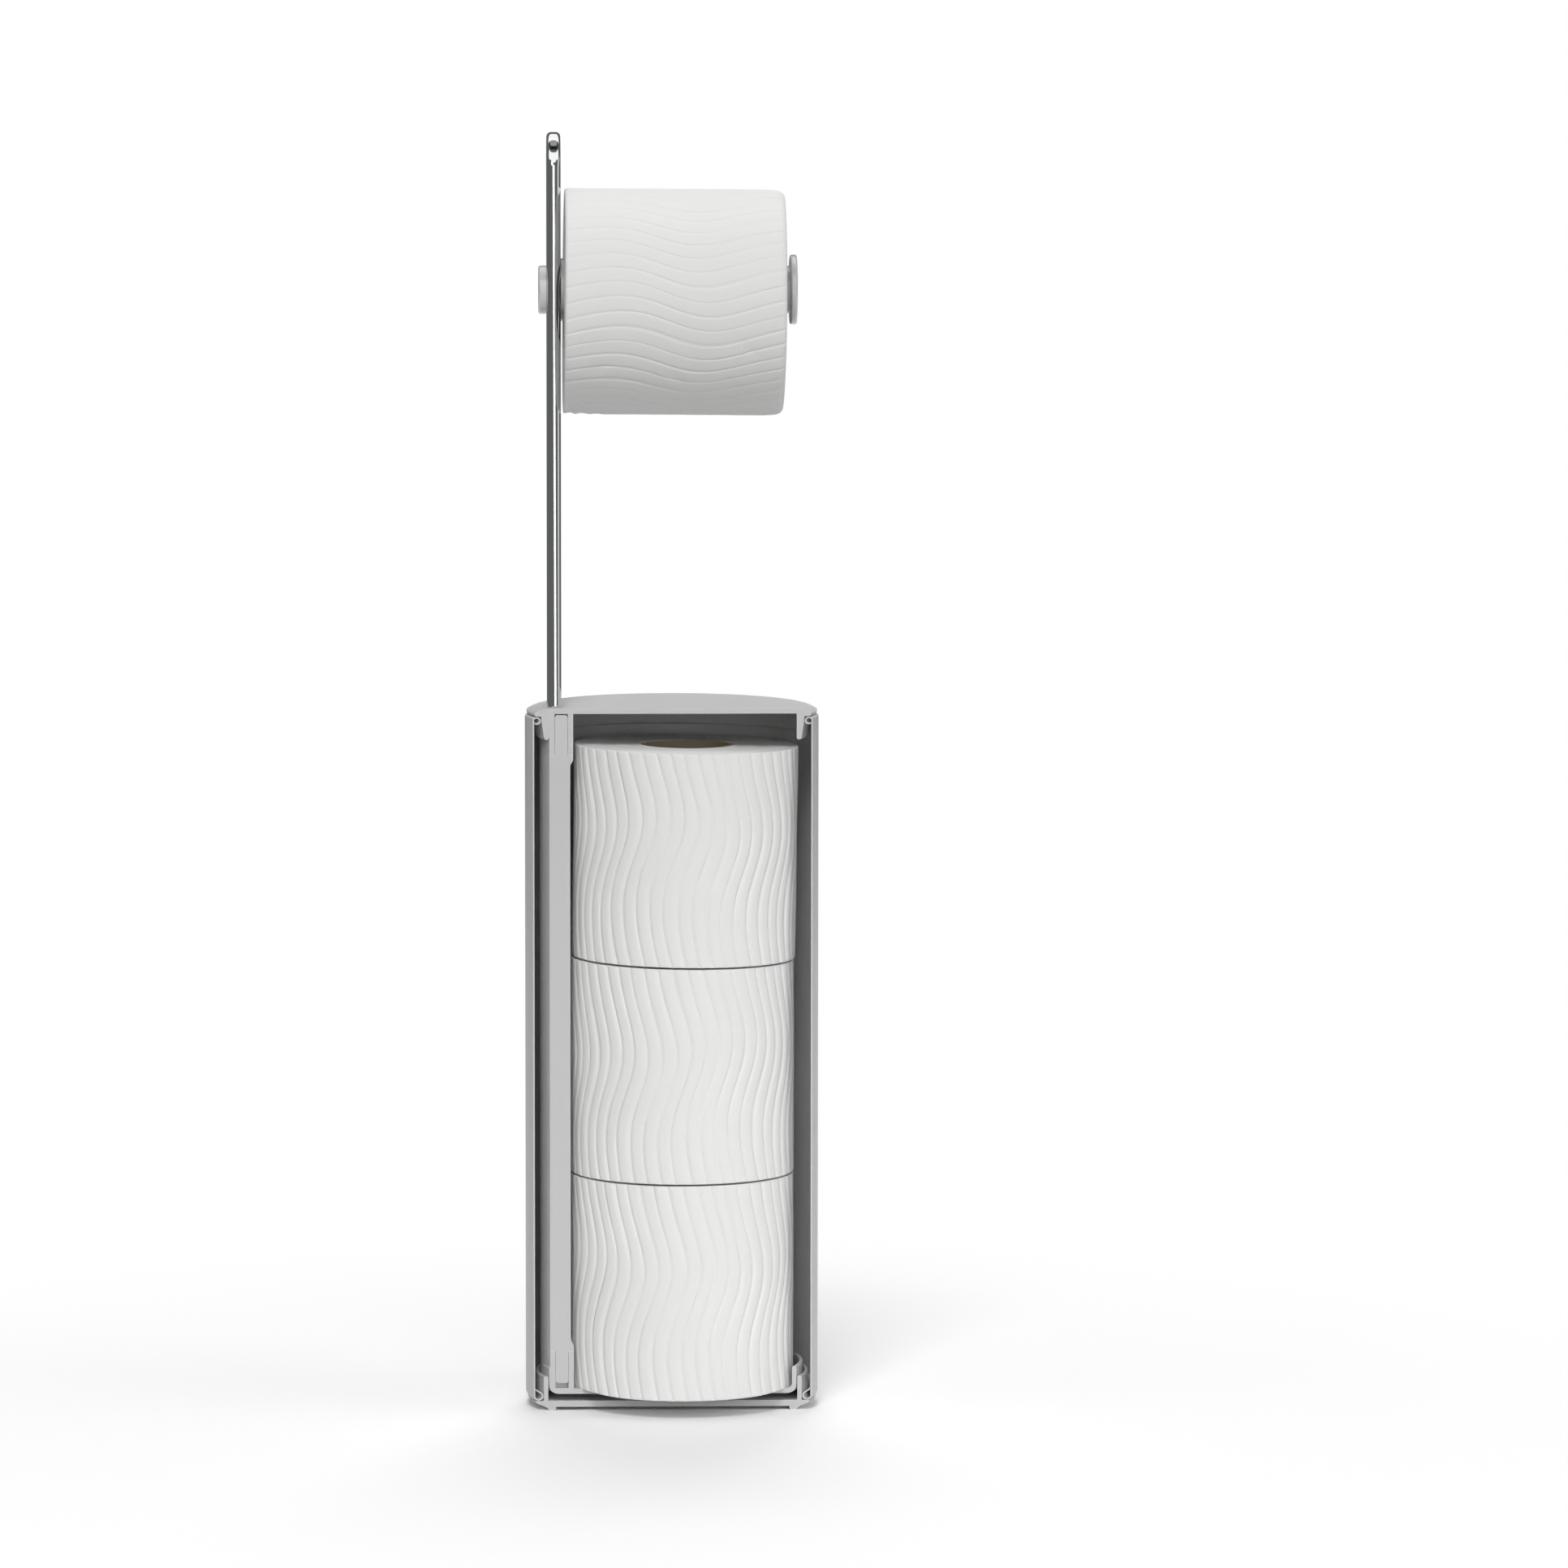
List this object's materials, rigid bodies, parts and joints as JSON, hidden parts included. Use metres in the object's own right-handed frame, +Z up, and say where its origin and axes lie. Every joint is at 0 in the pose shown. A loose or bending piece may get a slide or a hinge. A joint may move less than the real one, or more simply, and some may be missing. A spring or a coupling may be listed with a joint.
{
  "type": "toilet roll storage holder",
  "caption": "Floor-standing toilet roll holder: a round store for spare rolls, shown cut away, with a lift-out carrier, wire-loop handle and roll arm.",
  "frame": {"origin": "on the floor, on the axis of the round housing", "axes": "+Z up, +X the way the roll arm points, -Y the side that is cut away"},
  "size_m": [0.1358, 0.12, 0.5904],
  "materials": {
    "housing_paint": "satin light grey paint outside, dark grey inside",
    "grey_moulding": "fine matte light grey",
    "chrome_wire": "polished",
    "zinc_steel": "zinc plated",
    "satin_plastic": "satin",
    "satin_metal": "satin",
    "tissue": "soft embossed tissue",
    "core_board": "raw brown board"
  },
  "bodies": {
    "housing": {"housing_shell": "housing_paint", "base_moulding": "grey_moulding"},
    "carrier": {"lid": "grey_moulding", "carrier_post": "grey_moulding", "tray": "grey_moulding", "wire_loop": "chrome_wire", "loop_nuts": "zinc_steel", "arm_barrel": "satin_plastic", "arm_back_cap": "satin_metal", "arm_clamp_stud": "zinc_steel", "arm_end_disc": "satin_metal", "stored_roll_1": "tissue", "stored_roll_2": "tissue", "stored_roll_3": "tissue", "stored_core_1": "core_board", "stored_core_2": "core_board", "stored_core_3": "core_board"},
    "roll_in_use": {"open_roll": "tissue", "open_core": "core_board"}
  },
  "joints": [
    {"name": "carrier_lift", "type": "slide", "parent": "housing", "child": "carrier", "axis": [0, 0, 1], "range_m": [0, 0.33]},
    {"name": "roll_spin", "type": "hinge", "parent": "carrier", "child": "roll_in_use", "pos_m": [0, 0, 0.5124], "axis": [1, 0, 0], "continuous": true}
  ]
}
